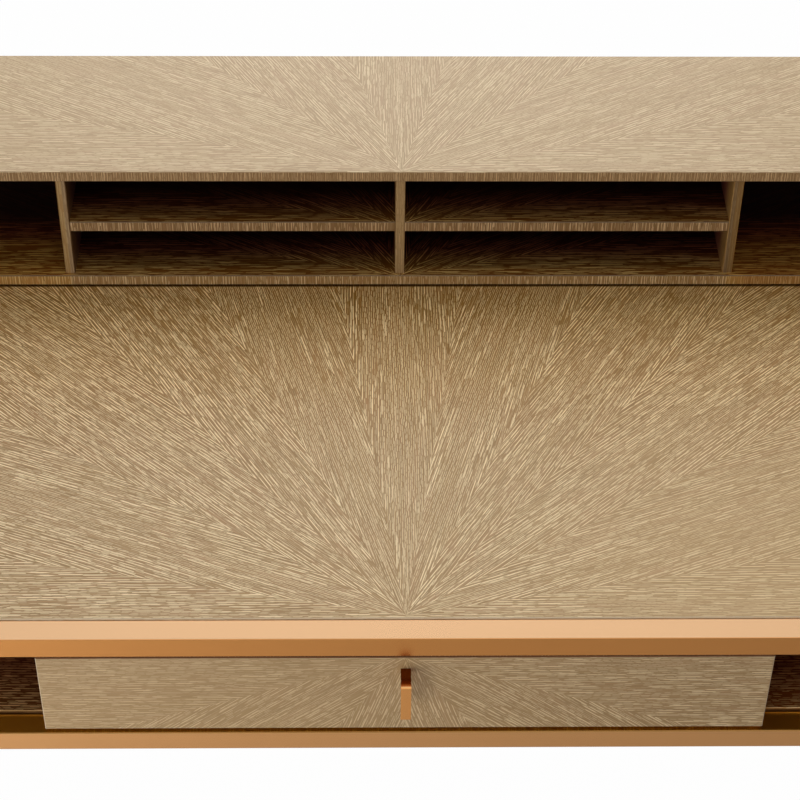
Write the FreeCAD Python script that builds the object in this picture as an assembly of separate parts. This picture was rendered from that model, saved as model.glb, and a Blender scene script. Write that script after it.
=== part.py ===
import FreeCAD, Part
import os
from FreeCAD import Vector

# Writing desk with an open pigeonhole hutch, and a centre drawer between two open compartments.
# Millimetres, +Z up, front towards -Y, origin on the floor at the middle of the outline.

# Overall
desk_width = 1500.0
desk_depth = 760.0
writing_height = 760.0
edge_ease = 0.8

# Square tube frame
tube = 25.0
tube_wall = 1.5
tube_round = 1.2
apron_opening = 112.0
tab_width = 30.0
tab_depth = 22.0
tab_thick = 3.0
tab_place_shares = (-0.8, -0.3, 0.3, 0.8)

# Feet
glide_radius = 10.0
glide_height = 6.0
stem_radius = 4.0
stem_length = 24.0
plug_length = 18.0

# Boards of the desk
top_thick = 22.0
top_proud = 1.5
bottom_thick = 15.0
bottom_proud = 4.5
apron_thick = 15.0
apron_reveal = 1.0
partition_thick = 18.0
carcass_dowel_radius = 4.0
carcass_dowel_length = 24.0
carcass_dowel_sunk_share = 0.4
carcass_dowel_shares = (0.15, 0.85)

# Brackets under the writing panel
bracket_leg = 26.0
bracket_width = 20.0
bracket_thick = 2.0
bracket_place_shares = (0.2, 0.8)

# Wood screws
screw_radius = 2.0
screw_head_radius = 4.0
screw_head_height = 2.4
short_screw = 10.0
long_screw = 26.0

# Drawer front and pull
drawer_opening = 660.0
front_width = 708.0
front_set = 1.0
front_gap_top = 2.0
front_gap_bottom = 5.0
bumper_radius = 5.0
bumper_thick = 3.0
bumper_height_shares = (0.2, 0.8)
pull_width = 10.0
pull_leg = 5.0
pull_lip = 4.0
pull_reach = 25.0
pull_drop = 46.0
pull_below = 16.5
pull_tenon = 8.0
pull_bend = 2.5
pull_screw_radius = 1.5
pull_screw_bite = 12.0

# Drawer box
box_length = 450.0
box_drop = 9.0
box_rise = 11.0
side_thick = 12.0
drawer_bottom_thick = 6.0
groove_depth = 6.0
groove_lift = 8.0
front_screw_across_shares = (-0.6, 0.6)
front_screw_height_shares = (0.3, 0.7)

# Drawer runners
slide_thick = 12.7
slide_height = 45.0
slide_gauge = 1.2
slide_gap = 0.3
slide_lip = 1.5
slide_inset = 5.0
slide_head_height = 1.6
slide_screw_shares = (0.1, 0.5, 0.9)
cabinet_screw = 14.0

# Hutch
hutch_depth = 229.0
hutch_height = 156.0
hutch_board = 13.0
hutch_end = 16.0
hutch_back = 6.0
divider = 11.0
divider_set = 5.0
shelf_height_share = 0.5
shelf_tenon = 3.0
tenon_stop = 12.0
hutch_dowel_radius = 3.0
hutch_dowel_length = 16.0
hutch_dowel_shares = (0.25, 0.75)
pad_radius = 10.0
pad_thick = 1.5
hutch_screw_pitch_shares = (-1.5, -0.5, 0.5, 1.5)
hutch_screw_depth_shares = (0.25, 0.65)
counterbore_clear = 1.0
counterbore_depth = 8.0

# Places across the desk
half_width = desk_width / 2
pull_overhang = pull_reach - front_set
front_y = (pull_overhang - desk_depth) / 2
back_y = front_y + desk_depth
inner_half = half_width - tube
inner_front = front_y + tube
inner_back = back_y - tube
apron_front = inner_front + apron_reveal
apron_back = inner_back - apron_reveal
apron_half = inner_half - apron_reveal
apron_inside_half = apron_half - apron_thick
opening_half = drawer_opening / 2

# Levels
ring_top = writing_height - top_proud
ring_low = ring_top - tube
rail_top = ring_low - apron_opening
rail_low = rail_top - tube
top_low = writing_height - top_thick
bottom_top = rail_top + bottom_proud
bottom_low = bottom_top - bottom_thick

# Drawer places
front_face = front_y + front_set
front_back = apron_front - bumper_thick
front_low = rail_top + front_gap_bottom
front_high = ring_low - front_gap_top
box_low = front_low + box_rise
box_high = front_high - box_drop
box_half = opening_half - slide_thick
box_inside_half = box_half - side_thick
box_end = front_back + box_length
pull_top = front_high - pull_below
pull_axis_z = pull_top - pull_leg / 2

# Hutch places
hutch_front = back_y - hutch_depth
hutch_low = writing_height + pad_thick
hutch_high = hutch_low + hutch_height
hutch_floor = hutch_low + hutch_board
hutch_ceiling = hutch_high - hutch_board
divider_front = hutch_front + divider_set
hutch_inside_back = back_y - hutch_back
bay = (desk_width - 2 * hutch_end - 3 * divider) / 4
divider_pitch = bay + divider

x_axis = Vector(1, 0, 0)
y_axis = Vector(0, 1, 0)
z_axis = Vector(0, 0, 1)


def block(x, y, z):
    size = Vector(x[1] - x[0], y[1] - y[0], z[1] - z[0])
    return Part.makeBox(size.x, size.y, size.z, Vector(x[0], y[0], z[0]))


def rod(radius, start, axis, length):
    return Part.makeCylinder(radius, length, start, axis)


def screw(seat, axis, length, radius=screw_radius, head_radius=screw_head_radius,
          head_height=screw_head_height):
    # The head's underside is at the seat and the shank runs along the axis.
    head = rod(head_radius, seat, axis * -1, head_height)
    return head.fuse(rod(radius, seat, axis, length)).removeSplitter()


def group(solids):
    return Part.makeCompound(solids)


def along(low, high, share):
    return low + (high - low) * share


def mirrored(shape):
    return shape.mirror(Vector(0, 0, 0), x_axis)


def edges_along(shape, axis, keep):
    # Straight edges parallel to the axis whose middle point passes the test.
    found = []
    for edge in shape.Edges:
        run = edge.Vertexes[-1].Point - edge.Vertexes[0].Point
        if run.Length > 0 and abs(run.normalize().dot(axis)) > 0.999:
            if keep(edge.CenterOfMass):
                found.append(edge)
    return found


def eased(shape, axis, keep):
    return shape.makeChamfer(edge_ease, edges_along(shape, axis, keep))


def square_tube(x, y, z, axis):
    bar = block(x, y, z)
    bar = bar.makeFillet(tube_round, edges_along(bar, axis, lambda point: True))
    wall = [tube_wall * (1 - component) for component in (axis.x, axis.y, axis.z)]
    sides = [(low + gap, high - gap) for (low, high), gap in zip((x, y, z), wall)]
    return bar.cut(block(*sides))


def mitred(bar, corners):
    # Keeps the part of a top rail inside a four-cornered plan.
    points = [Vector(px, py, ring_low) for px, py in corners]
    plan = Part.Face(Part.makePolygon(points + points[:1]))
    return bar.common(plan.extrude(z_axis * tube))


def save(name, shape):
    shape.exportStep("parts/" + name + ".step")


def make_frame():
    parts = {}
    ring = (ring_low, ring_top)
    rail = (rail_low, rail_top)
    full_x = (-half_width, half_width)
    full_y = (front_y, back_y)
    between_x = (-inner_half, inner_half)
    between_y = (inner_front, inner_back)
    rows = {"front": (front_y, inner_front), "back": (inner_back, back_y)}
    outer_y = {"front": front_y, "back": back_y}
    inner_y = {"front": inner_front, "back": inner_back}
    for name, y in rows.items():
        plan = [(-half_width, outer_y[name]), (half_width, outer_y[name]),
                (inner_half, inner_y[name]), (-inner_half, inner_y[name])]
        parts[name + "_top_rail"] = mitred(square_tube(full_x, y, ring, x_axis), plan)
        parts[name + "_lower_rail"] = square_tube(between_x, y, rail, x_axis)
        leg = square_tube((inner_half, half_width), y, (glide_height, ring_low), z_axis)
        parts[name + "_right_leg"] = leg
        parts[name + "_left_leg"] = mirrored(leg)
    right = (inner_half, half_width)
    plan = [(half_width, front_y), (half_width, back_y),
            (inner_half, inner_back), (inner_half, inner_front)]
    parts["right_top_rail"] = mitred(square_tube(right, full_y, ring, y_axis), plan)
    parts["right_lower_rail"] = square_tube(right, between_y, rail, y_axis)
    parts["left_top_rail"] = mirrored(parts["right_top_rail"])
    parts["left_lower_rail"] = mirrored(parts["right_lower_rail"])
    return parts


def make_feet():
    plugs = []
    glides = []
    tube_inside = tube / 2 - tube_wall
    for x in (-half_width + tube / 2, half_width - tube / 2):
        for y in (front_y + tube / 2, back_y - tube / 2):
            foot = rod(glide_radius, Vector(x, y, 0), z_axis, glide_height)
            stem = rod(stem_radius, Vector(x, y, glide_height), z_axis, stem_length)
            glide = foot.fuse(stem).removeSplitter()
            plug = block((x - tube_inside, x + tube_inside), (y - tube_inside, y + tube_inside),
                         (glide_height, glide_height + plug_length))
            plugs.append(plug.cut(stem))
            glides.append(glide)
    return {"leg_plugs": group(plugs), "floor_glides": group(glides)}


def make_tabs():
    # Plates welded inside the lower rails carry the bottom board, with a screw up through each.
    tabs = []
    screws = []
    z = (bottom_low - tab_thick, bottom_low)
    rows = ((inner_front, inner_front + tab_depth), (inner_back - tab_depth, inner_back))
    for y in rows:
        for share in tab_place_shares:
            middle = share * inner_half
            seat = Vector(middle, (y[0] + y[1]) / 2, z[0])
            fixing = screw(seat, z_axis, short_screw)
            tab = block((middle - tab_width / 2, middle + tab_width / 2), y, z)
            tabs.append(tab.cut(fixing))
            screws.append(fixing)
    return {"panel_tabs": group(tabs), "tab_screws": group(screws)}


def upright_panel(x, y):
    return block(x, y, (bottom_top, top_low))


def dowels_under(x, y, by_x):
    # Dowels in the lower edge of an upright panel, spaced along its longer way.
    start = bottom_top - carcass_dowel_length * carcass_dowel_sunk_share
    pins = []
    for share in carcass_dowel_shares:
        px = along(x[0], x[1], share) if by_x else (x[0] + x[1]) / 2
        py = (y[0] + y[1]) / 2 if by_x else along(y[0], y[1], share)
        pins.append(rod(carcass_dowel_radius, Vector(px, py, start), z_axis, carcass_dowel_length))
    return pins


def bracket_at(face_x, y, outward):
    # An angle between an upright face at face_x and the underside of the writing panel.
    across = bracket_width / 2
    reach = sorted((face_x, face_x + outward * bracket_leg))
    plate = sorted((face_x, face_x + outward * bracket_thick))
    up = block(plate, (y - across, y + across), (top_low - bracket_leg, top_low))
    flat = block(reach, (y - across, y + across), (top_low - bracket_thick, top_low))
    middle = along(bracket_thick, bracket_leg, 1 / 2)
    side_seat = Vector(face_x + outward * bracket_thick, y, top_low - middle)
    top_seat = Vector(face_x + outward * middle, y, top_low - bracket_thick)
    screws = [screw(side_seat, x_axis * -outward, short_screw),
              screw(top_seat, z_axis, short_screw)]
    return up.fuse(flat).removeSplitter().cut(group(screws)), screws


def make_carcass(tab_screws, hutch_screws):
    parts = {}
    back_x = (-apron_inside_half, apron_inside_half)
    back_y_span = (apron_back - apron_thick, apron_back)
    partition_x = (opening_half, opening_half + partition_thick)
    partition_y = (apron_front, apron_back - apron_thick)
    lengthways = {
        "apron_end_right": ((apron_inside_half, apron_half), (apron_front, apron_back)),
        "apron_end_left": ((-apron_half, -apron_inside_half), (apron_front, apron_back)),
        "drawer_partition_right": (partition_x, partition_y),
        "drawer_partition_left": ((-partition_x[1], -partition_x[0]), partition_y),
    }
    brackets = []
    bracket_screws = []
    for share in bracket_place_shares:
        y = along(partition_y[0], partition_y[1], share)
        faces = ((partition_x[1], 1), (apron_inside_half, -1), (-partition_x[1], -1), (-apron_inside_half, 1))
        for face_x, outward in faces:
            bracket, screws = bracket_at(face_x, y, outward)
            brackets.append(bracket)
            bracket_screws.extend(screws)
    dowels = dowels_under(back_x, back_y_span, True)
    parts["apron_back"] = upright_panel(back_x, back_y_span).cut(group(dowels))
    for name, (x, y) in lengthways.items():
        pins = dowels_under(x, y, False)
        parts[name] = upright_panel(x, y).cut(group(pins + bracket_screws))
        dowels.extend(pins)
    bottom = block((-apron_half, apron_half), (apron_front, apron_back), (bottom_low, bottom_top))
    parts["carcass_bottom"] = bottom.cut(group(dowels + tab_screws))
    top = block((-inner_half, inner_half), (inner_front, inner_back), (top_low, writing_height))
    for axis in (x_axis, y_axis):
        top = eased(top, axis, lambda point: point.z > ring_top)
    wells = []
    for fixing in hutch_screws:
        middle = fixing.BoundBox.Center
        seat = Vector(middle.x, middle.y, top_low)
        wells.append(rod(screw_head_radius + counterbore_clear, seat, z_axis, counterbore_depth))
    parts["desk_top"] = top.cut(group(bracket_screws)).cut(group(wells)).cut(group(hutch_screws))
    parts["carcass_dowels"] = group(dowels)
    parts["top_brackets"] = group(brackets)
    parts["bracket_screws"] = group(bracket_screws)
    return parts


def make_pull():
    leg = block((-pull_width / 2, pull_width / 2), (front_face - pull_reach, front_face + pull_tenon),
                (pull_top - pull_leg, pull_top))
    lip_y = (front_face - pull_reach, front_face - pull_reach + pull_lip)
    lip = block((-pull_width / 2, pull_width / 2), lip_y, (pull_top - pull_drop, pull_top))
    bar = leg.fuse(lip).removeSplitter()
    bend = edges_along(bar, x_axis, lambda point: point.z > pull_axis_z and point.y < front_face - pull_lip)
    return bar.makeFillet(pull_bend, bend)


def make_drawer():
    parts = {}
    front = block((-front_width / 2, front_width / 2), (front_face, front_back), (front_low, front_high))
    for axis in (x_axis, z_axis):
        front = eased(front, axis, lambda point: point.y < front_face + edge_ease)
    side_y = (front_back, box_end)
    box_z = (box_low, box_high)
    right_side = block((box_inside_half, box_half), side_y, box_z)
    inside_x = (-box_inside_half, box_inside_half)
    subfront = block(inside_x, (front_back, front_back + side_thick), box_z)
    back = block(inside_x, (box_end - side_thick, box_end), box_z)
    floor_low = box_low + groove_lift
    floor_half = box_inside_half + groove_depth
    floor_y = (front_back + side_thick - groove_depth, box_end - side_thick + groove_depth)
    floor = block((-floor_half, floor_half), floor_y, (floor_low, floor_low + drawer_bottom_thick))
    inner_face = front_back + side_thick
    front_screws = []
    for across in front_screw_across_shares:
        for share in front_screw_height_shares:
            seat = Vector(across * box_inside_half, inner_face, along(box_low, box_high, share))
            front_screws.append(screw(seat, y_axis * -1, long_screw))
    pull = make_pull()
    pull_screw_length = inner_face - (front_face + pull_tenon) + pull_screw_bite
    pull_seat = Vector(0, inner_face, pull_axis_z)
    pull_screw = screw(pull_seat, y_axis * -1, pull_screw_length, pull_screw_radius)
    bumpers = []
    bumper_x = opening_half + partition_thick / 2
    for x in (-bumper_x, bumper_x):
        for share in bumper_height_shares:
            middle = Vector(x, front_back, along(front_low, front_high, share))
            bumpers.append(rod(bumper_radius, middle, y_axis, bumper_thick))
    slide_screws = drawer_slide_screws()
    parts["drawer_front"] = front.cut(pull).cut(group(front_screws + [pull_screw]))
    parts["drawer_subfront"] = subfront.cut(floor).cut(group(front_screws + [pull_screw]))
    parts["drawer_side_right"] = right_side.cut(floor).cut(group(slide_screws))
    parts["drawer_side_left"] = mirrored(parts["drawer_side_right"])
    parts["drawer_back"] = back.cut(floor)
    parts["drawer_bottom"] = floor
    parts["drawer_pull"] = pull.cut(pull_screw)
    parts["pull_screw"] = pull_screw
    parts["front_screws"] = group(front_screws)
    parts["drawer_bumpers"] = group(bumpers)
    parts["drawer_slide_screws"] = group(slide_screws + [mirrored(fixing) for fixing in slide_screws])
    return parts


# Runner section: distance out from the partition, and half heights from the runner's middle line
slide_y = (front_back + slide_inset, box_end - slide_inset)
slide_z = (box_low + box_high) / 2
middle_web = slide_gauge + slide_head_height + slide_gap
hook_start = middle_web + slide_gauge + slide_gap
middle_lip = hook_start + slide_gauge + slide_gap
cabinet_lip = middle_lip + slide_gauge + slide_gap
cabinet_half = slide_height / 2
middle_half = cabinet_half - slide_gauge - slide_gap
hook_half = middle_half - slide_gauge - slide_gap
drawer_half = middle_half - slide_gauge - slide_lip - slide_gap


def slide_screw_places():
    return [along(slide_y[0], slide_y[1], share) for share in slide_screw_shares]


def cabinet_slide_screws():
    screws = []
    for y in slide_screw_places():
        seat = Vector(opening_half - slide_gauge, y, slide_z)
        screws.append(screw(seat, x_axis, cabinet_screw, head_height=slide_head_height))
    return screws


def drawer_slide_screws():
    screws = []
    for y in slide_screw_places():
        seat = Vector(box_half + slide_gauge, y, slide_z)
        screws.append(screw(seat, x_axis * -1, short_screw, head_height=slide_head_height))
    return screws


def slide_strip(out, half_heights):
    # A pair of strips above and below the middle line, at a distance out from the partition.
    x = (opening_half - out[1], opening_half - out[0])
    low, high = half_heights
    return [block(x, slide_y, (slide_z + low, slide_z + high)),
            block(x, slide_y, (slide_z - high, slide_z - low))]


def slide_member(web, half, flange, lip):
    web_x = (opening_half - web[1], opening_half - web[0])
    solids = [block(web_x, slide_y, (slide_z - half, slide_z + half))]
    solids += slide_strip(flange, (half - slide_gauge, half))
    solids += slide_strip(*lip)
    return solids[0].fuse(solids[1:]).removeSplitter()


def make_slides():
    parts = {}
    lip_low = cabinet_half - slide_gauge - slide_lip
    cabinet = slide_member((0, slide_gauge), cabinet_half, (0, cabinet_lip + slide_gauge),
                           ((cabinet_lip, cabinet_lip + slide_gauge), (lip_low, cabinet_half)))
    lip_low = middle_half - slide_gauge - slide_lip
    middle = slide_member((middle_web, middle_web + slide_gauge), middle_half,
                          (middle_web, middle_lip + slide_gauge),
                          ((middle_lip, middle_lip + slide_gauge), (lip_low, middle_half)))
    inner = slide_member((slide_thick - slide_gauge, slide_thick), drawer_half, (hook_start, slide_thick),
                         ((hook_start, hook_start + slide_gauge), (drawer_half - slide_gauge, hook_half)))
    cabinet_screws = cabinet_slide_screws()
    parts["slide_cabinet_right"] = cabinet.cut(group(cabinet_screws))
    parts["slide_middle_right"] = middle
    parts["slide_drawer_right"] = inner.cut(group(drawer_slide_screws()))
    for name in ("slide_cabinet", "slide_middle", "slide_drawer"):
        parts[name + "_left"] = mirrored(parts[name + "_right"])
    parts["cabinet_slide_screws"] = group(cabinet_screws + [mirrored(fixing) for fixing in cabinet_screws])
    return parts


def hutch_screws_and_pads():
    # Screws up through the writing panel and the spacer pads into the hutch's bottom board.
    screws = []
    pads = []
    for across in hutch_screw_pitch_shares:
        for share in hutch_screw_depth_shares:
            x = across * divider_pitch
            y = along(hutch_front, back_y, share)
            fixing = screw(Vector(x, y, top_low + counterbore_depth), z_axis, long_screw - pad_thick)
            pad = rod(pad_radius, Vector(x, y, writing_height), z_axis, pad_thick)
            screws.append(fixing)
            pads.append(pad.cut(fixing))
    return screws, pads


def make_hutch(screws):
    parts = {}
    full_x = (-half_width, half_width)
    full_y = (hutch_front, back_y)
    between = (hutch_floor, hutch_ceiling)
    uprights = {
        "hutch_end_left": ((-half_width, -half_width + hutch_end), full_y),
        "hutch_end_right": ((half_width - hutch_end, half_width), full_y),
    }
    divider_y = (divider_front, hutch_inside_back)
    for name, step in (("left", -1), ("centre", 0), ("right", 1)):
        middle = step * divider_pitch
        uprights["hutch_divider_" + name] = ((middle - divider / 2, middle + divider / 2), divider_y)
    shelf_middle = along(hutch_floor, hutch_ceiling, shelf_height_share)
    shelf_z = (shelf_middle - hutch_board / 2, shelf_middle + hutch_board / 2)
    tenon_y = (divider_front + tenon_stop, hutch_inside_back - tenon_stop)
    shelves = {}
    for name, step in (("left", -1), ("right", 1)):
        middle = step * divider_pitch / 2
        body = block((middle - bay / 2, middle + bay / 2), divider_y, shelf_z)
        body = eased(body, x_axis, lambda point: point.y < divider_front + edge_ease)
        tongue = block((middle - bay / 2 - shelf_tenon, middle + bay / 2 + shelf_tenon), tenon_y, shelf_z)
        shelves["hutch_shelf_" + name] = body.fuse(tongue).removeSplitter()
    dowels = []
    for name, (x, y) in uprights.items():
        pins = []
        for level in between:
            for share in hutch_dowel_shares:
                foot = Vector((x[0] + x[1]) / 2, along(y[0], y[1], share), level - hutch_dowel_length / 2)
                pins.append(rod(hutch_dowel_radius, foot, z_axis, hutch_dowel_length))
        panel = block(x, y, between)
        panel = eased(panel, z_axis, lambda point: point.y < y[0] + edge_ease)
        parts[name] = panel.cut(group(pins)).cut(group(list(shelves.values())))
        dowels.extend(pins)
    for name, z in (("hutch_bottom", (hutch_low, hutch_floor)), ("hutch_top", (hutch_ceiling, hutch_high))):
        board = block(full_x, full_y, z)
        board = eased(board, x_axis, lambda point: True)
        parts[name] = board.cut(group(dowels)).cut(group(screws))
    back_x = (-half_width + hutch_end, half_width - hutch_end)
    parts["hutch_back"] = block(back_x, (hutch_inside_back, back_y), between)
    parts["hutch_dowels"] = group(dowels)
    parts.update(shelves)
    return parts


os.makedirs("parts", exist_ok=True)
hutch_screws, hutch_pads = hutch_screws_and_pads()
tabs = make_tabs()
pieces = {}
pieces.update(make_frame())
pieces.update(make_feet())
pieces.update(tabs)
pieces.update(make_carcass(tabs["tab_screws"].Solids, hutch_screws))
pieces.update(make_drawer())
pieces.update(make_slides())
pieces.update(make_hutch(hutch_screws))
pieces["hutch_screws"] = group(hutch_screws)
pieces["hutch_pads"] = group(hutch_pads)
for cabinet_side in ("left", "right"):
    partition = "drawer_partition_" + cabinet_side
    pieces[partition] = pieces[partition].cut(pieces["cabinet_slide_screws"])
for name, shape in pieces.items():
    save(name, shape)
    print(name, len(shape.Solids), shape.isValid(), round(shape.Volume))
print(len(pieces), "nodes")
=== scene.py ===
import bpy
import math
from mathutils import Matrix, Vector


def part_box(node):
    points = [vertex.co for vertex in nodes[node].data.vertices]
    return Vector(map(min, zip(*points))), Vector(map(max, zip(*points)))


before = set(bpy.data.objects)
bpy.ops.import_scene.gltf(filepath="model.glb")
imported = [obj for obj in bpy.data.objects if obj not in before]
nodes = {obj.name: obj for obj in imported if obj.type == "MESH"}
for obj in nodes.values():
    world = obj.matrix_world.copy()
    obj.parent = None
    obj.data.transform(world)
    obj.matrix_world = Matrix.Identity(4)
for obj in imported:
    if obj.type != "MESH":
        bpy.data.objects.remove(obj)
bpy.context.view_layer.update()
print("frame loaded:", len(nodes), "nodes")


# small helpers for wiring shader nodes

def newFinish(name):
    finish = bpy.data.materials.new(name)
    finish.use_nodes = True
    tree = finish.node_tree
    tree.nodes.clear()
    surface = tree.nodes.new("ShaderNodeBsdfPrincipled")
    output = tree.nodes.new("ShaderNodeOutputMaterial")
    tree.links.new(surface.outputs["BSDF"], output.inputs["Surface"])
    return finish, tree, surface


def plug(tree, socket, value):
    if isinstance(value, bpy.types.NodeSocket):
        tree.links.new(value, socket)
    else:
        socket.default_value = value


def calc(tree, operation, *values):
    node = tree.nodes.new("ShaderNodeMath")
    node.operation = operation
    for socket, value in zip(node.inputs, values):
        plug(tree, socket, value)
    return node.outputs[0]


def joined(tree, x, y, z):
    node = tree.nodes.new("ShaderNodeCombineXYZ")
    for socket, value in zip(node.inputs, (x, y, z)):
        plug(tree, socket, value)
    return node.outputs[0]


def split(tree, vector):
    node = tree.nodes.new("ShaderNodeSeparateXYZ")
    plug(tree, node.inputs[0], vector)
    return node.outputs[0], node.outputs[1], node.outputs[2]


def pick(tree, share, low, high, kind="RGBA", blend="MIX"):
    node = tree.nodes.new("ShaderNodeMix")
    node.data_type = kind
    if kind == "RGBA":
        node.blend_type = blend
    offset = {"FLOAT": 2, "VECTOR": 4, "RGBA": 6}[kind]
    plug(tree, node.inputs[0], share)
    plug(tree, node.inputs[offset], low)
    plug(tree, node.inputs[offset + 1], high)
    return node.outputs[{"FLOAT": 0, "VECTOR": 1, "RGBA": 2}[kind]]


def cloud(tree, vector, scale, detail=2.0, roughness=0.5):
    node = tree.nodes.new("ShaderNodeTexNoise")
    plug(tree, node.inputs["Vector"], vector)
    node.inputs["Scale"].default_value = scale
    node.inputs["Detail"].default_value = detail
    node.inputs["Roughness"].default_value = roughness
    return node.outputs["Fac"]


def chance(tree, vector):
    # three even random numbers for each different vector
    node = tree.nodes.new("ShaderNodeTexWhiteNoise")
    node.noise_dimensions = "3D"
    plug(tree, node.inputs["Vector"], vector)
    return split(tree, node.outputs["Color"])


def band(tree, value, low, high):
    node = tree.nodes.new("ShaderNodeMapRange")
    node.interpolation_type = "SMOOTHSTEP"
    plug(tree, node.inputs["Value"], value)
    node.inputs["From Min"].default_value = low
    node.inputs["From Max"].default_value = high
    return node.outputs["Result"]


def raised(tree, height, distance, strength):
    node = tree.nodes.new("ShaderNodeBump")
    plug(tree, node.inputs["Height"], height)
    node.inputs["Distance"].default_value = distance
    node.inputs["Strength"].default_value = strength
    return node.outputs["Normal"]


def objectPlace(tree):
    node = tree.nodes.new("ShaderNodeTexCoord")
    return split(tree, node.outputs["Object"]), split(tree, node.outputs["Normal"])


def dress(finish, *names):
    for name in names:
        slots = nodes[name].data.materials
        slots.clear()
        slots.append(finish)


def drawnOut(tree, place, lengthways, length, width):
    # place scaled so that a pattern runs long along one axis
    scales = [length if axis == lengthways else width for axis in "xyz"]
    return joined(tree, *[calc(tree, "MULTIPLY", part, scale) for part, scale in zip(place, scales)])


def alike(tone):
    # one tone for the ground of the wood and the filler in it
    return tone, tone


# limed oak veneer: pale filler in rows of open pores over a tan ground

oak = {
    "ground": (0.392, 0.243, 0.098, 1),
    "warmGround": (0.412, 0.243, 0.108, 1),
    "deepGround": (0.303, 0.183, 0.068, 1),
    "filler": (0.86, 0.705, 0.445, 1),
    "even": (0.495, 0.335, 0.155, 1),         # ground and filler taken together
    # painted highlight on eased edges
    "arris": (0.74, 0.60, 0.42, 1),
    # rows and dashes per metre, half a pore's width and its wandering in shares of a row,
    # and the figure at which the pores show, first faintly and then in full
    "longPores": {
        "rows": 305.0,
        "dashes": 42.0,
        "width": 0.222,
        "wander": 0.4,
        "figure": (0.28, 0.70),
        "seed": 1.0,
    },
    "shortPores": {
        "rows": 490.0,
        "dashes": 105.0,
        "width": 0.265,
        "wander": 0.5,
        "figure": (0.85, 0.42),
        "seed": 7.0,
    },
    "shortShare": 0.73,
    "rowShift": 37.0,         # most dashes that a row is shifted by
    "leastWidth": 0.7,        # narrowest pores and the spread above them, in shares of the width
    "widthSpread": 0.6,
    "lengthSpread": 0.25,
    "dashEnds": (0.42, 0.18),     # from the middle of a dash, where it ends and where it is full
    "lineEdge": (1.0, 0.25),      # the same across it, in widths
    "luck": 0.55,             # chance in each dash
    "gap": 0.3,               # strength left between dashes
    "flank": 2.0,             # dark flanks beside a pore, in widths of it
    "flankDepth": 0.5,
    "shortestRun": 0.02,      # metres from the burst
    "leafSlope": 0.16,        # a leaf's half width over its length
    "leafBalance": 0.6,       # share of the way to a leaf's side where the figure stays as it is
    "leafFigure": 0.25,       # longer pores towards the sides of a leaf
    "leafStep": 3.7,          # seeds of neighbouring leaves, and of the two halves
    "halfStep": 1.9,
    # clouds by their patches per metre along the grain and across it
    "figureCloud": {"along": 7.0, "aside": 48.0, "detail": 2.0, "seed": 9.0},
    "veinCloud": {"along": 22.0, "aside": 620.0, "detail": 2.0, "seed": 30.0},
    "patchCloud": {"along": 12.0, "aside": 60.0, "detail": 2.0, "seed": 40.0},
    "swayCloud": {"along": 4.0, "aside": 9.0, "detail": 1.0, "seed": 21.0},
    "rippleCloud": {"along": 20.0, "aside": 45.0, "detail": 1.0, "seed": 26.0},
    "veinTurn": (0.3, 0.65),      # where the ground changes in its veins and patches
    "patchTurn": (0.35, 0.65),
    "sway": 0.006,            # metres that the rows wander sideways
    "ripple": 0.0010,
    "flatTurn": 0.7,          # how squarely a flat face looks along an axis
    "easedTurn": 0.9,         # an eased edge looks along no axis as squarely as this
    "arrisTurn": 0.5,         # and along the axis that it counts for, more than this
    "bumpDepth": 0.0001,
    "bumpStrength": 0.25,
    "satin": 0.42,
    "fillerRough": 0.08,
}
plainTone = (1.0, 1.0, 1.0, 1)
plainPair = alike(plainTone)      # tones of the ground and of the filler


def fanGrain(tree, across, up, fan):
    # leaves meet at the seams, alike on both sides, and the grain of each runs along its middle
    outward = calc(tree, "ABSOLUTE", across)
    theta = calc(tree, "ARCTAN2", up, outward)
    seams = fan["seams"]
    middles = [0.0] + [(low + high) / 2 for low, high in zip(seams, seams[1:])] + [fan["crown"]]
    figures = fan["figures"]
    direction = math.radians(middles[0])
    figure = figures[0]
    count = 0.0
    for leaf, seam in enumerate(seams):
        passed = calc(tree, "GREATER_THAN", theta, math.radians(seam))
        turn = math.radians(middles[leaf + 1] - middles[leaf])
        direction = calc(tree, "MULTIPLY_ADD", passed, turn, direction)
        figure = calc(tree, "MULTIPLY_ADD", passed, figures[leaf + 1] - figures[leaf], figure)
        count = calc(tree, "ADD", passed, count)
    cosine = calc(tree, "COSINE", direction)
    sine = calc(tree, "SINE", direction)
    along = calc(tree, "ADD", calc(tree, "MULTIPLY", outward, cosine), calc(tree, "MULTIPLY", up, sine))
    aside = calc(tree, "SUBTRACT", calc(tree, "MULTIPLY", up, cosine),
                 calc(tree, "MULTIPLY", outward, sine))
    half = calc(tree, "MULTIPLY", calc(tree, "LESS_THAN", across, 0.0), oak["halfStep"])
    leafSeed = calc(tree, "MULTIPLY_ADD", count, oak["leafStep"], half)
    return joined(tree, along, aside, leafSeed), figure


def straightGrain(tree, along, aside):
    return joined(tree, along, aside, 0.0), 0.0


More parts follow.
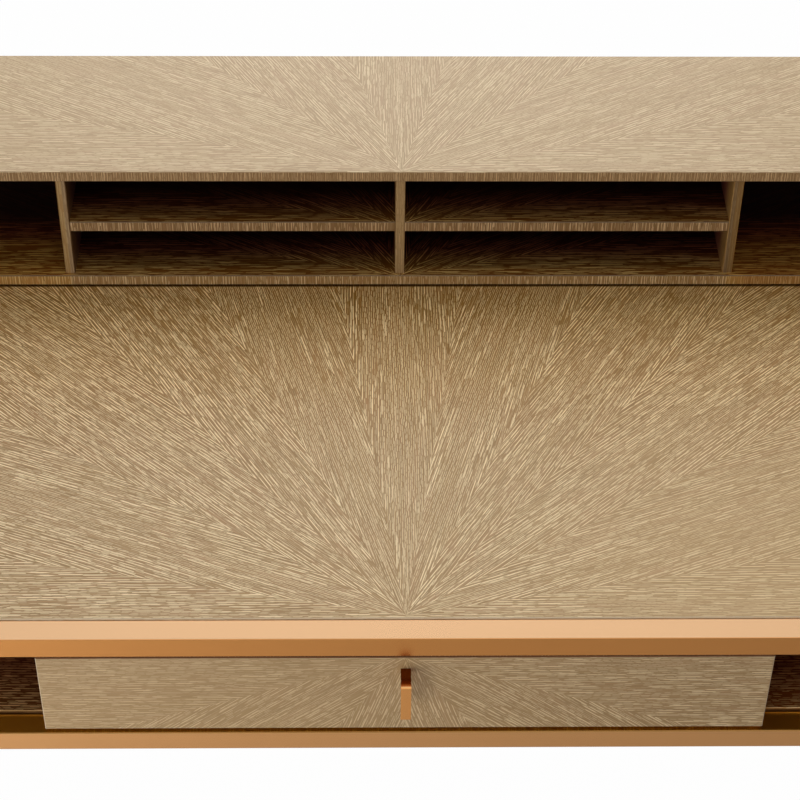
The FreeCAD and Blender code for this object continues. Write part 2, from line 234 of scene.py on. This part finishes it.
def poreRows(tree, along, aside, leaf, figure, wood, pores):
    # rows cut into dashes of random place, length, width and strength
    rows = calc(tree, "MULTIPLY", aside, pores["rows"])
    row = calc(tree, "FLOOR", rows)
    rowSeed, rowWidth = chance(tree, joined(tree, row, leaf, pores["seed"]))[:2]
    rowStart = calc(tree, "MULTIPLY", rowSeed, wood["rowShift"])
    steps = calc(tree, "MULTIPLY_ADD", along, pores["dashes"], rowStart)
    step = calc(tree, "FLOOR", steps)
    luck, length, shift = chance(tree, joined(tree, row, step, calc(tree, "ADD", leaf, pores["seed"])))
    slack = calc(tree, "MULTIPLY_ADD", shift, pores["wander"], -0.5 - pores["wander"] / 2)
    offLine = calc(tree, "ABSOLUTE", calc(tree, "ADD", calc(tree, "SUBTRACT", rows, row), slack))
    width = calc(tree, "MULTIPLY_ADD", rowWidth, pores["width"] * wood["widthSpread"],
                 pores["width"] * wood["leastWidth"])
    offLine = calc(tree, "DIVIDE", offLine, width)
    offMiddle = calc(tree, "ABSOLUTE", calc(tree, "SUBTRACT", calc(tree, "SUBTRACT", steps, step), 0.5))
    offEnd = calc(tree, "MULTIPLY_ADD", length, -wood["lengthSpread"], offMiddle)
    ends = band(tree, offEnd, *wood["dashEnds"])
    shown = calc(tree, "MULTIPLY_ADD", calc(tree, "SUBTRACT", luck, 0.5), wood["luck"], figure)
    dash = calc(tree, "MULTIPLY", calc(tree, "MULTIPLY_ADD", ends, 1.0 - wood["gap"], wood["gap"]),
                band(tree, shown, *pores["figure"]))
    line = calc(tree, "MULTIPLY", dash, band(tree, offLine, *wood["lineEdge"]))
    flank = calc(tree, "MULTIPLY", dash, band(tree, offLine, wood["flank"], 1.0))
    return line, flank


def oakSurface(tree, surface, grain, figureShift, wood):
    # sets the roughness and bump, and returns the ground and the filler's share
    along, aside, leaf = split(tree, grain)

    def grainCloud(part):
        settings = wood[part + "Cloud"]
        spot = joined(tree, calc(tree, "MULTIPLY", along, settings["along"]),
                      calc(tree, "MULTIPLY", aside, settings["aside"]),
                      calc(tree, "ADD", leaf, settings["seed"]))
        return cloud(tree, spot, 1.0, settings["detail"])

    run = calc(tree, "MAXIMUM", calc(tree, "ABSOLUTE", along), wood["shortestRun"])
    halfLeaf = calc(tree, "MULTIPLY", run, wood["leafSlope"])
    sideShare = calc(tree, "DIVIDE", calc(tree, "ABSOLUTE", aside), halfLeaf)
    sideShare = calc(tree, "SUBTRACT", calc(tree, "MINIMUM", sideShare, 1.0), wood["leafBalance"])
    figure = calc(tree, "MULTIPLY_ADD", sideShare, wood["leafFigure"], grainCloud("figure"))
    figure = calc(tree, "ADD", figure, figureShift)
    swayed = calc(tree, "MULTIPLY_ADD", grainCloud("sway"), wood["sway"], aside)
    swayed = calc(tree, "MULTIPLY_ADD", grainCloud("ripple"), wood["ripple"], swayed)
    longLine, longFlank = poreRows(tree, along, swayed, leaf, figure, wood, wood["longPores"])
    shortLine, shortFlank = poreRows(tree, along, swayed, leaf, figure, wood, wood["shortPores"])
    shortLine = calc(tree, "MULTIPLY", shortLine, wood["shortShare"])
    filler = calc(tree, "MAXIMUM", longLine, shortLine)
    flank = calc(tree, "MULTIPLY", calc(tree, "MAXIMUM", longFlank, shortFlank), wood["flankDepth"])
    patches = band(tree, grainCloud("patch"), *wood["patchTurn"])
    veins = band(tree, grainCloud("vein"), *wood["veinTurn"])
    ground = pick(tree, patches, wood["ground"], wood["warmGround"])
    ground = pick(tree, veins, wood["deepGround"], ground)
    ground = pick(tree, flank, ground, wood["deepGround"])
    rough = calc(tree, "MULTIPLY_ADD", filler, wood["fillerRough"], wood["satin"])
    plug(tree, surface.inputs["Roughness"], rough)
    plug(tree, surface.inputs["Normal"], raised(tree, filler, wood["bumpDepth"], wood["bumpStrength"]))
    return ground, filler


def calmShare(tree, place, calm):
    # one share for the whole piece, or a share that grows along some axes
    if not isinstance(calm, dict):
        return calm
    grown = 1.0
    for axis, start, end in calm["reaches"]:
        grown = calc(tree, "MULTIPLY", grown, band(tree, place[axis], start, end))
    return calc(tree, "MULTIPLY_ADD", grown, calm["most"] - calm["least"], calm["least"])


def oakFinish(name, layout, tones, calm=0.0, fades=(), arrises=(), wood=oak):
    # layout gives the grain of the faces that look up, forward and sideways, tones their pairs of tones,
    # which on several pieces hold painted light and shade by the way a face looks, calm how far the figure
    # is evened out, fades the changes of tone along a measure of the place, mostly painted shade, and
    # arrises the axis, share and colour of eased edges, a painted highlight on some pieces and painted shade
    # on others
    finish, tree, surface = newFinish(name)
    place, normal = objectPlace(tree)
    steep = [calc(tree, "ABSOLUTE", part) for part in normal]
    upright, sideways = [calc(tree, "GREATER_THAN", steep[axis], wood["flatTurn"]) for axis in (2, 0)]
    under = calc(tree, "LESS_THAN", normal[2], -wood["flatTurn"])
    rearward = calc(tree, "GREATER_THAN", normal[1], wood["flatTurn"])
    (top, topFigure), (front, frontFigure), (side, sideFigure) = layout(tree, *place)
    grain = pick(tree, sideways, pick(tree, upright, front, top, "VECTOR"), side, "VECTOR")
    figure = pick(tree, sideways, pick(tree, upright, frontFigure, topFigure, "FLOAT"), sideFigure, "FLOAT")
    ground, filler = oakSurface(tree, surface, grain, figure, wood)
    even = calmShare(tree, place, calm)

    def toned(colour, part):
        topTone, frontTone, sideTone, underTone = [tones.get(face, plainPair)[part]
                                                   for face in ("top", "front", "side", "under")]
        tone = pick(tree, sideways, pick(tree, upright, frontTone, topTone), sideTone)
        tone = pick(tree, under, tone, underTone)
        for measure, start, end, pair in fades:
            faded = pick(tree, band(tree, measure(tree, place), start, end), plainTone, pair[part])
            tone = pick(tree, 1.0, tone, faded, blend="MULTIPLY")
        tone = pick(tree, rearward, tone, plainTone)
        return pick(tree, 1.0, pick(tree, even, colour, wood["even"]), tone, blend="MULTIPLY")

    colour = pick(tree, filler, toned(ground, 0), toned(wood["filler"], 1))
    flattest = calc(tree, "MAXIMUM", steep[0], calc(tree, "MAXIMUM", steep[1], steep[2]))
    easedEdge = calc(tree, "LESS_THAN", flattest, wood["easedTurn"])
    # eased edges take a painted highlight on some pieces and painted shade on others
    for axis, share, paintedEdgeShading in arrises:
        facing = calc(tree, "GREATER_THAN", steep[axis], wood["arrisTurn"])
        share = calc(tree, "MULTIPLY", calc(tree, "MULTIPLY", easedEdge, facing), share)
        colour = pick(tree, share, colour, paintedEdgeShading)
    plug(tree, surface.inputs["Base Color"], colour)
    return finish


# measures of the place, for fades of tone

frontSkin = 0.0012      # depth that counts as the front face
farOff = 1.0            # takes a measure out of every fade


def rightward(tree, place):
    return place[0]


def inward(tree, place):
    return place[1]


def frontHeight(name, beyond):
    # height on a piece's front face alone, since behind it the measure is moved beyond the fade
    def measure(tree, place):
        inside = calc(tree, "GREATER_THAN", place[1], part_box(name)[0].y + frontSkin)
        return calc(tree, "MULTIPLY_ADD", inside, beyond, place[2])
    return measure


def placedFades(fades, measure, front):
    return [(measure, front + start, front + end, pair) for start, end, pair in fades]


# writing panel, its burst near the middle of the front edge

writingPanel = {
    "seams": (11.0, 33.5, 51.5, 66.7, 82.2),
    "crown": 90.0,
    "figures": (0.08, 0.02, 0.14, 0.14, -0.06, -0.02),      # longer or shorter pores in each leaf
    "burstSet": 0.004,        # behind the panel's front edge
    # where a tone starts and is full, behind the hutch's front or to the right of the middle
    # painted shade: the hutch's shadow darkens and yellows the ground in front of the hutch, with painted
    # light on its filler, and a painted contact shadow runs along the hutch's foot
    "hutchShadeFades": ((-0.36, -0.06, ((0.88, 0.77, 0.56, 1), (1.10, 1.05, 0.95, 1))),
                  (-0.115, 0.0, ((0.97, 0.87, 0.44, 1), (1.05, 1.03, 0.94, 1))),
                  (-0.0022, -0.0008, alike((0.22, 0.15, 0.06, 1)))),
    "leftFades": ((0.10, -0.38, ((0.92, 0.91, 0.89, 1), (1.03, 1.03, 1.05, 1))),),
    # evener at the front right
    "calm": {"least": 0.0, "most": 0.42, "reaches": ((0, 0.04, 0.36), (1, 0.02, -0.28))},
    "topPair": ((0.945, 0.93, 0.915, 1), (0.975, 0.945, 0.91, 1)),
    # painted highlight: the front edge and its eased arris are paler, as where they catch the light
    "edgePair": ((2.1, 2.5, 3.4, 1), (1.1, 1.2, 1.4, 1)),
    "arrises": ((1, 0.9, oak["arris"]),),
}


def writingLayout(tree, x, y, z):
    depth = calc(tree, "SUBTRACT", y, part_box("desk_top")[0].y + writingPanel["burstSet"])
    return fanGrain(tree, x, depth, writingPanel), straightGrain(tree, x, z), straightGrain(tree, y, z)


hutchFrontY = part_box("hutch_top")[0].y
writingTones = {"top": writingPanel["topPair"], "front": writingPanel["edgePair"]}
writingFades = placedFades(writingPanel["hutchShadeFades"], inward, hutchFrontY)
writingFades += placedFades(writingPanel["leftFades"], rightward, 0.0)
dress(oakFinish("writingOak", writingLayout, writingTones, writingPanel["calm"], writingFades,
                writingPanel["arrises"]), "desk_top")
print("writing panel on")


# hutch boards, their bursts at the middle of their front edges

hutchBoards = {
    "seams": (14.5, 44.5, 76.0),
    "crown": 90.0,
    "figures": (0.05, 0.0, 0.08, 0.0),
    # painted sheen: the hutch top's ground is paler and bluer and its figure evened out, as under a bright
    # reflection
    "topPair": ((0.90, 0.945, 1.14, 1), (0.90, 0.91, 0.95, 1)),
    "topCalm": 0.32,
    "edgePair": ((0.70, 0.64, 0.61, 1), (0.86, 0.76, 0.70, 1)),
    "edgeCalm": 0.65,
    "lowEdgePair": ((1.12, 1.04, 0.90, 1), (1.06, 1.02, 0.92, 1)),
    "leftFront": ((0.71, 0.70, 0.79, 1), (0.82, 0.82, 0.92, 1)),      # front and side of each divider, painted light and shade by how each is lit: painted shade on the sides of the left and centre dividers and the front of the right one, painted light on the right one's side
    "leftSide": ((0.22, 0.14, 0.08, 1), (0.27, 0.18, 0.11, 1)),
    "centreFront": ((0.80, 0.77, 0.74, 1), (0.98, 0.94, 0.91, 1)),
    "centreSide": ((0.35, 0.25, 0.15, 1), (0.42, 0.31, 0.20, 1)),
    "rightFront": ((0.41, 0.37, 0.35, 1), (0.48, 0.43, 0.41, 1)),
    "rightSide": ((0.72, 0.58, 0.36, 1), (0.80, 0.66, 0.44, 1)),
    # painted shade: the floors and shelves inside the hutch are darker and warmer than the oak outside
    "insidePair": ((0.50, 0.275, 0.058, 1), (1.16, 0.93, 0.50, 1)),
    # fewer, longer and finer dashes inside
    "insideWood": dict(oak, luck=1.5, gap=0.0, flankDepth=0.25,
                       longPores=dict(oak["longPores"], dashes=27.0, width=0.19),
                       shortPores=dict(oak["shortPores"], dashes=55.0, width=0.20)),
    # painted shade under the boards and on the back inside the hutch, the back near black
    "ceilingPair": alike((0.25, 0.16, 0.09, 1)),
    "backPair": alike((0.10, 0.05, 0.03, 1)),
    # painted shade deeper in the hutch: where a tone starts and is full behind the front, which is deeper in
    # the tall bays at the sides
    "floorFades": ((0.016, 0.052, ((0.28, 0.10, 0.22, 1), (0.60, 0.34, 0.48, 1))),
                   (0.050, 0.085, alike((0.15, 0.12, 0.20, 1)))),
    "shelfFades": ((0.004, 0.044, ((0.24, 0.10, 0.20, 1), (0.48, 0.29, 0.40, 1))),
                   (0.035, 0.075, alike((0.14, 0.12, 0.14, 1)))),
    # painted shade: a dark line along the eased upper and lower edges of the floor and shelf fronts
    "arrises": ((2, 1.0, (0.15, 0.095, 0.045, 1)),),
    "sideBay": 0.369,         # from the middle to the side bays, and how much deeper the light reaches there
    "sideDeeper": 0.030,
    # painted light on the floors of the tall side bays, lifting their painted shade
    "sidePair": ((1.26, 1.14, 0.84, 1), (1.0, 0.95, 0.72, 1)),
    "farBay": (0.380, 0.395),             # right-hand bay, a little darker with painted shade
    "farPair": alike((0.82, 0.74, 0.70, 1)),
}


def hutchLayout(tree, x, y, z):
    depth = calc(tree, "SUBTRACT", y, hutchFrontY)
    return fanGrain(tree, x, depth, hutchBoards), straightGrain(tree, z, x), straightGrain(tree, z, y)


def uprightLayout(tree, x, y, z):
    return straightGrain(tree, y, x), straightGrain(tree, z, x), straightGrain(tree, z, y)


def lengthLayout(tree, x, y, z):
    return straightGrain(tree, x, y), straightGrain(tree, x, z), straightGrain(tree, y, z)


def sideBay(tree, place):
    return calc(tree, "GREATER_THAN", calc(tree, "ABSOLUTE", place[0]), hutchBoards["sideBay"])


def bayDepth(tree, place):
    return calc(tree, "MULTIPLY_ADD", sideBay(tree, place), -hutchBoards["sideDeeper"], place[1])


hutchEdge = hutchBoards["edgePair"]
hutchInside = hutchBoards["insidePair"]
hutchCeiling = hutchBoards["ceilingPair"]
topTones = {"top": hutchBoards["topPair"], "front": hutchEdge, "under": hutchCeiling}
floorTones = {"top": hutchInside, "front": hutchBoards["lowEdgePair"], "under": hutchCeiling}
shelfTones = {"top": hutchInside, "front": hutchEdge, "under": hutchCeiling}
floorFades = placedFades(hutchBoards["floorFades"], bayDepth, hutchFrontY)
floorFades.append((sideBay, 0.0, 1.0, hutchBoards["sidePair"]))
floorFades.append((rightward, *hutchBoards["farBay"], hutchBoards["farPair"]))
shelfFades = placedFades(hutchBoards["shelfFades"], inward, hutchFrontY)
dress(oakFinish("hutchTopOak", hutchLayout, topTones, hutchBoards["topCalm"]), "hutch_top")
dress(oakFinish("hutchFloorOak", hutchLayout, floorTones, fades=floorFades,
                arrises=hutchBoards["arrises"], wood=hutchBoards["insideWood"]), "hutch_bottom")
dress(oakFinish("hutchShelfOak", hutchLayout, shelfTones, fades=shelfFades,
                arrises=hutchBoards["arrises"], wood=hutchBoards["insideWood"]),
      "hutch_shelf_left", "hutch_shelf_right")
for part in ("left", "centre", "right"):
    dividerTones = {"front": hutchBoards[part + "Front"], "side": hutchBoards[part + "Side"]}
    # the dividers share the floors' painted shade
    dress(oakFinish(part + "DividerOak", uprightLayout, dividerTones, hutchBoards["edgeCalm"], floorFades),
          "hutch_divider_" + part)
dress(oakFinish("hutchEndOak", uprightLayout, {"front": hutchEdge}), "hutch_end_left", "hutch_end_right")
dress(oakFinish("hutchBackOak", lengthLayout, {"front": hutchBoards["backPair"]}), "hutch_back")
print("hutch on")


# drawer front, its burst at the middle of the upper edge and fanning down

drawerFace = {
    "seams": (20.0, 57.0),
    "crown": 73.5,
    "figures": (-0.05, 0.07, 0.08),
    "wood": dict(oak, luck=0.9, gap=0.1),
    # painted shadow of the rail along the top of the drawer front
    "topFades": ((-0.0018, -0.0006, alike((0.45, 0.30, 0.18, 1))),),
    "pair": ((0.84, 0.81, 0.77, 1), (0.84, 0.775, 0.725, 1)),
    "calm": {"least": 0.15, "most": 0.42, "reaches": ((0, 0.25, -0.15),)},      # evener at the left
    # painted shade on the top arris under the rail, painted highlight on the arrises at the ends
    "arrises": ((2, 1.0, (0.130, 0.040, 0.002, 1)), (0, 0.7, oak["arris"])),
}


def drawerLayout(tree, x, y, z):
    drop = calc(tree, "SUBTRACT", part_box("drawer_front")[1].z, z)
    return straightGrain(tree, y, x), fanGrain(tree, x, drop, drawerFace), straightGrain(tree, z, y)


drawerFades = placedFades(drawerFace["topFades"], frontHeight("drawer_front", -farOff),
                          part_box("drawer_front")[1].z)
dress(oakFinish("drawerOak", drawerLayout, {"front": drawerFace["pair"]}, drawerFace["calm"], drawerFades,
                drawerFace["arrises"], drawerFace["wood"]), "drawer_front")
print("drawer front on")


# aprons and the boards of the open compartments, with their grain lengthways

compartment = {
    "wood": dict(oak, luck=0.9, gap=0.0),
    # painted shade: the floors and the partitions' sides in the open compartments are dark and saturated, as
    # in a recess
    "floorPair": ((0.40, 0.190, 0.030, 1), (1.15, 0.96, 0.72, 1)),
    "wallPair": ((0.50, 0.36, 0.24, 1), (0.6, 0.48, 0.35, 1)),
    "edgePair": ((0.95, 1.0, 1.1, 1), (0.9, 0.9, 0.9, 1)),
    # where a tone starts and is full, behind the floor's front, to the right of the middle and down its
    # edge: painted shade deeper in, painted light in the right-hand compartment and a painted shadow down
    # the floor's front edge
    "fades": ((-0.005, 0.085, ((0.45, 0.06, 0.08, 1), (0.62, 0.37, 0.34, 1))),),
    "rightFades": ((0.2, 0.3, ((1.5, 1.3, 1.15, 1), (1.0, 0.98, 0.95, 1))),),
    "edgeFades": ((-0.0012, -0.0022, alike((0.22, 0.13, 0.07, 1))),),
}

compartmentTones = {
    "top": compartment["floorPair"],
    "front": compartment["edgePair"],
    "side": compartment["wallPair"],
}
compartmentFades = placedFades(compartment["fades"], inward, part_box("carcass_bottom")[0].y)
compartmentFades += placedFades(compartment["rightFades"], rightward, 0.0)
compartmentFades += placedFades(compartment["edgeFades"], frontHeight("carcass_bottom", farOff),
                                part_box("carcass_bottom")[1].z)
dress(oakFinish("apronOak", lengthLayout, {}), "apron_back", "apron_end_left", "apron_end_right")
dress(oakFinish("compartmentOak", lengthLayout, compartmentTones, fades=compartmentFades,
                wood=compartment["wood"]),
      "carcass_bottom", "drawer_partition_left", "drawer_partition_right")
print("aprons and compartments on")


# pale birch of the drawer box, and beech dowels

boxWood = {
    "birch": ((0.60, 0.44, 0.26, 1), (0.70, 0.54, 0.34, 1)),
    "beech": ((0.50, 0.32, 0.17, 1), (0.58, 0.39, 0.22, 1)),
    "grainLength": 9.0,
    "grainWidth": 260.0,
    "streakDetail": 3.0,
    "streakRough": 0.6,
    "streakTurn": (0.3, 0.7),
    "rough": 0.45,
    "roughSpread": 0.1,
    "bumpDepth": 0.00005,
    "bumpStrength": 0.2,
}


def boxWoodFinish(name, shades, lengthways):
    finish, tree, surface = newFinish(name)
    place = objectPlace(tree)[0]
    grain = drawnOut(tree, place, lengthways, boxWood["grainLength"], boxWood["grainWidth"])
    streak = cloud(tree, grain, 1.0, boxWood["streakDetail"], boxWood["streakRough"])
    colour = pick(tree, band(tree, streak, *boxWood["streakTurn"]), *shades)
    rough = calc(tree, "MULTIPLY_ADD", streak, boxWood["roughSpread"], boxWood["rough"])
    plug(tree, surface.inputs["Base Color"], colour)
    plug(tree, surface.inputs["Roughness"], rough)
    relief = raised(tree, streak, boxWood["bumpDepth"], boxWood["bumpStrength"])
    plug(tree, surface.inputs["Normal"], relief)
    return finish


dress(boxWoodFinish("birchAcross", boxWood["birch"], "x"), "drawer_subfront", "drawer_back")
dress(boxWoodFinish("birchDeep", boxWood["birch"], "y"),
      "drawer_side_left", "drawer_side_right", "drawer_bottom")
dress(boxWoodFinish("beechDowel", boxWood["beech"], "x"), "carcass_dowels")
dress(boxWoodFinish("beechPeg", boxWood["beech"], "z"), "hutch_dowels")
print("drawer box and dowels on")


# satin brass, brushed along each tube

brass = {
    "colour": (0.632, 0.273, 0.076, 1),
    "paleColour": (0.660, 0.293, 0.086, 1),
    "topReflection": (0.740, 0.453, 0.245, 1),     # painted reflection of the bright backdrop, paler on the faces that look up
    "topTurn": (0.6, 0.95),                    # how far a face looks up where that starts and is full
    "castScale": 7.0,
    "rough": 0.24,
    "roughSpread": 0.04,
    "brushLength": 6.0,
    "brushWidth": 2400.0,
    "bumpDepth": 0.00001,
    "bumpStrength": 0.1,
}
# lower rails, a little paler in front, with a painted dark reflection on top and painted shade darkest round
# the eased edges of the top
lowBrass = dict(
    brass,
    colour=(0.718, 0.364, 0.138, 1),
    paleColour=(0.748, 0.387, 0.152, 1),
    topReflection=(0.74, 0.410, 0.060, 1),
    topTurn=(0.3, 0.75),
    bendShade=(0.36, 0.185, 0.050, 1),
    bendTurn=(0.1, 0.35),
    bendEnd=(0.995, 0.93),
)
# pull, with a painted dark reflection where its leg meets the drawer front, by the distance behind the lip's
# face
pullBrass = dict(
    brass,
    colour=(0.76, 0.342, 0.102, 1),
    paleColour=(0.79, 0.366, 0.115, 1),
    topReflection=(0.76, 0.400, 0.160, 1),
    darkReflection=(0.175, 0.040, 0.0045, 1),
    darkReflectionReach=(0.0010, 0.0065),
    lipY=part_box("drawer_pull")[0].y,
)


def metalFinish(name, metal, lengthways):
    finish, tree, surface = newFinish(name)
    place, normal = objectPlace(tree)
    brushed = drawnOut(tree, place, lengthways, metal["brushLength"], metal["brushWidth"])
    brush = cloud(tree, brushed, 1.0)
    cast = cloud(tree, joined(tree, *place), metal["castScale"])
    colour = pick(tree, cast, metal["colour"], metal["paleColour"])
    # faces that look up take a painted reflection
    if "topReflection" in metal:
        upward = band(tree, normal[2], *metal["topTurn"])
        colour = pick(tree, upward, colour, metal["topReflection"])
        # painted dark reflection on the top of the pull's leg, near the drawer front
        if "darkReflection" in metal:
            behind = band(tree, place[1], *[metal["lipY"] + reach for reach in metal["darkReflectionReach"]])
            colour = pick(tree, calc(tree, "MULTIPLY", behind, upward), colour, metal["darkReflection"])
    # painted shade round the eased edges of the top
    if "bendShade" in metal:
        bend = calc(tree, "MULTIPLY", band(tree, normal[2], *metal["bendTurn"]),
                    band(tree, normal[2], *metal["bendEnd"]))
        colour = pick(tree, bend, colour, metal["bendShade"])
    rough = calc(tree, "MULTIPLY_ADD", brush, metal["roughSpread"], metal["rough"])
    plug(tree, surface.inputs["Base Color"], colour)
    plug(tree, surface.inputs["Metallic"], 1.0)
    plug(tree, surface.inputs["Roughness"], rough)
    plug(tree, surface.inputs["Normal"], raised(tree, brush, metal["bumpDepth"], metal["bumpStrength"]))
    return finish


dress(metalFinish("brassAcross", brass, "x"), "front_top_rail", "back_top_rail")
dress(metalFinish("brassDeep", brass, "y"), "left_top_rail", "right_top_rail")
dress(metalFinish("lowBrassAcross", lowBrass, "x"), "front_lower_rail", "back_lower_rail")
dress(metalFinish("lowBrassDeep", lowBrass, "y"), "left_lower_rail", "right_lower_rail")
dress(metalFinish("brassUpright", brass, "z"),
      "front_left_leg", "front_right_leg", "back_left_leg", "back_right_leg")
dress(metalFinish("brassPull", pullBrass, "z"), "drawer_pull")
dress(metalFinish("brassTab", brass, "x"), "panel_tabs")
print("brass on")


# zinc plated steel of the runners, brackets and screws

zinc = {
    "colour": (0.50, 0.51, 0.52, 1),
    "paleColour": (0.62, 0.63, 0.63, 1),
    "castScale": 7.0,
    "rough": 0.30,
    "roughSpread": 0.14,
    "brushLength": 20.0,
    "brushWidth": 900.0,
    "bumpDepth": 0.00002,
    "bumpStrength": 0.2,
}

dress(metalFinish("zincRunner", zinc, "y"),
      "slide_cabinet_left", "slide_cabinet_right", "slide_middle_left", "slide_middle_right",
      "slide_drawer_left", "slide_drawer_right")
dress(metalFinish("zincScrew", zinc, "z"), "bracket_screws", "tab_screws", "hutch_screws", "top_brackets")
dress(metalFinish("zincCross", zinc, "x"), "cabinet_slide_screws", "drawer_slide_screws")
dress(metalFinish("zincDeep", zinc, "y"), "front_screws", "pull_screw")
print("runners and fasteners on")


# rubber bumpers and pads, moulded plastic plugs and glides

moulded = {
    "rubber": ((0.030, 0.029, 0.028, 1), (0.050, 0.048, 0.046, 1)),
    "plastic": ((0.018, 0.018, 0.018, 1), (0.030, 0.030, 0.030, 1)),
    "rubberRough": 0.7,
    "plasticRough": 0.45,
    "roughSpread": 0.15,
    "speckScale": 900.0,
    "speckDetail": 3.0,
    "bumpDepth": 0.00004,
    "bumpStrength": 0.3,
}


def mouldedFinish(name, shades, rough):
    finish, tree, surface = newFinish(name)
    place = objectPlace(tree)[0]
    speck = cloud(tree, joined(tree, *place), moulded["speckScale"], moulded["speckDetail"])
    rough = calc(tree, "MULTIPLY_ADD", speck, moulded["roughSpread"], rough)
    plug(tree, surface.inputs["Base Color"], pick(tree, speck, *shades))
    plug(tree, surface.inputs["Roughness"], rough)
    plug(tree, surface.inputs["Normal"], raised(tree, speck, moulded["bumpDepth"], moulded["bumpStrength"]))
    return finish


dress(mouldedFinish("padRubber", moulded["rubber"], moulded["rubberRough"]), "drawer_bumpers", "hutch_pads")
dress(mouldedFinish("glidePlastic", moulded["plastic"], moulded["plasticRough"]),
      "leg_plugs", "floor_glides")
print("pads and glides on")


# floor and light

studio = {
    "floorSize": 40.0,
    "floorColour": (0.62, 0.61, 0.60, 1),
    "floorRough": 0.9,
    "floorWhite": 0.985,      # share of plain white that the camera sees on the floor
    "floorSheen": 0.08,       # the same for reflections
    "backGlow": 0.55,
    "frontGlow": 0.06,
    "glowTurn": (-0.3, 0.5),  # how far back the sky lies where the glow starts to change and ends
}
lamps = {
    "key": {
        "place": (0.0, 0.74, 2.9),
        "aim": (0.0, 0.25, 0.75),
        "size": 2.4,
        "power": 41.0,
        "mirrored": False,
    },
    "back": {
        "place": (0.0, 2.7, 2.1),
        "aim": (0.0, 0.25, 0.9),
        "size": 1.8,
        "power": 14.0,
        "mirrored": True,
    },
    "fill": {
        "place": (-1.0, -2.15, 0.50),
        "aim": (0.0, -0.37, 0.68),
        "size": 1.6,
        "power": 26.4,
        "mirrored": False,
    },
    "front": {
        "place": (0.0, -1.35, 2.95),
        "aim": (0.0, 0.16, 0.84),
        "size": 1.1,
        "power": 6.0,
        "mirrored": False,
    },
    "side": {                     # low box that brightens the floor at the left, for the brass to mirror
        "place": (-1.0, -1.15, 0.6),
        "aim": (-0.75, -1.05, 0.0),
        "size": 0.6,
        "power": 5.4,
        "mirrored": False,
    },
}


def softbox(name, place, aim, size, power, mirrored):
    lamp = bpy.data.lights.new(name, "AREA")
    lamp.shape = "SQUARE"
    lamp.size = size
    lamp.energy = power
    holder = bpy.data.objects.new(name, lamp)
    holder.location = place
    holder.visible_glossy = mirrored
    holder.rotation_euler = (Vector(aim) - Vector(place)).to_track_quat("-Z", "Y").to_euler()
    bpy.context.scene.collection.objects.link(holder)


def seenShare(tree, cameraShare, glossShare):
    # how far the white background shows to the camera, to reflections and through glass
    ray = tree.nodes.new("ShaderNodeLightPath")
    bounced = calc(tree, "MAXIMUM", ray.outputs["Is Glossy Ray"], ray.outputs["Is Transmission Ray"])
    return calc(tree, "MAXIMUM", calc(tree, "MULTIPLY", ray.outputs["Is Camera Ray"], cameraShare),
                calc(tree, "MULTIPLY", bounced, glossShare))


def makeFloor():
    bpy.ops.object.select_all(action="DESELECT")
    bpy.ops.mesh.primitive_plane_add(size=studio["floorSize"], location=(0, 0, 0))
    floor = bpy.context.active_object
    floor.name = "studioFloor"
    finish, tree, surface = newFinish("studioFloor")
    surface.inputs["Base Color"].default_value = studio["floorColour"]
    surface.inputs["Roughness"].default_value = studio["floorRough"]
    glow = tree.nodes.new("ShaderNodeEmission")
    mixed = tree.nodes.new("ShaderNodeMixShader")
    output = next(node for node in tree.nodes if node.type == "OUTPUT_MATERIAL")
    plug(tree, mixed.inputs[0], seenShare(tree, studio["floorWhite"], studio["floorSheen"]))
    plug(tree, mixed.inputs[1], surface.outputs[0])
    plug(tree, mixed.inputs[2], glow.outputs[0])
    plug(tree, output.inputs["Surface"], mixed.outputs[0])
    floor.data.materials.append(finish)


def makeSky():
    # white wherever it is seen, and a softer light on the desk that is brighter from behind
    world = bpy.data.worlds.new("studioSky")
    bpy.context.scene.world = world
    world.use_nodes = True
    tree = world.node_tree
    tree.nodes.clear()
    output = tree.nodes.new("ShaderNodeOutputWorld")
    glow = tree.nodes.new("ShaderNodeBackground")
    white = tree.nodes.new("ShaderNodeBackground")
    white.inputs["Color"].default_value = (1, 1, 1, 1)
    glow.inputs["Color"].default_value = (1, 1, 1, 1)
    mixed = tree.nodes.new("ShaderNodeMixShader")
    heading = tree.nodes.new("ShaderNodeTexCoord")
    behind = band(tree, split(tree, heading.outputs["Generated"])[1], *studio["glowTurn"])
    strength = pick(tree, behind, studio["frontGlow"], studio["backGlow"], "FLOAT")
    plug(tree, glow.inputs["Strength"], strength)
    plug(tree, mixed.inputs[0], seenShare(tree, 1.0, 1.0))
    plug(tree, mixed.inputs[1], glow.outputs[0])
    plug(tree, mixed.inputs[2], white.outputs[0])
    plug(tree, output.inputs["Surface"], mixed.outputs[0])


makeFloor()
makeSky()
for lamp, settings in lamps.items():
    softbox(lamp + "Softbox", **settings)
print("studio lit")


# camera, set from the edges measured in the photograph

viewpoint = {
    "place": (-0.03797, -1.74303, 2.29127),
    "yaw": 1.2105,            # in degrees, like the next two
    "pitch": 41.7952,
    "roll": 0.7325,
    "lens": 97.31,
    "sensor": 36.0,
}


def makeCamera():
    lens = bpy.data.cameras.new("deskCamera")
    lens.sensor_width = viewpoint["sensor"]
    lens.lens = viewpoint["lens"]
    holder = bpy.data.objects.new("deskCamera", lens)
    turn = Matrix.Rotation(math.radians(-viewpoint["yaw"]), 4, "Z")
    tilt = Matrix.Rotation(math.radians(90.0 - viewpoint["pitch"]), 4, "X")
    roll = Matrix.Rotation(math.radians(viewpoint["roll"]), 4, "Z")
    holder.matrix_world = Matrix.Translation(viewpoint["place"]) @ turn @ tilt @ roll
    bpy.context.scene.collection.objects.link(holder)
    bpy.context.scene.camera = holder


makeCamera()
bpy.context.scene.view_settings.view_transform = "Standard"
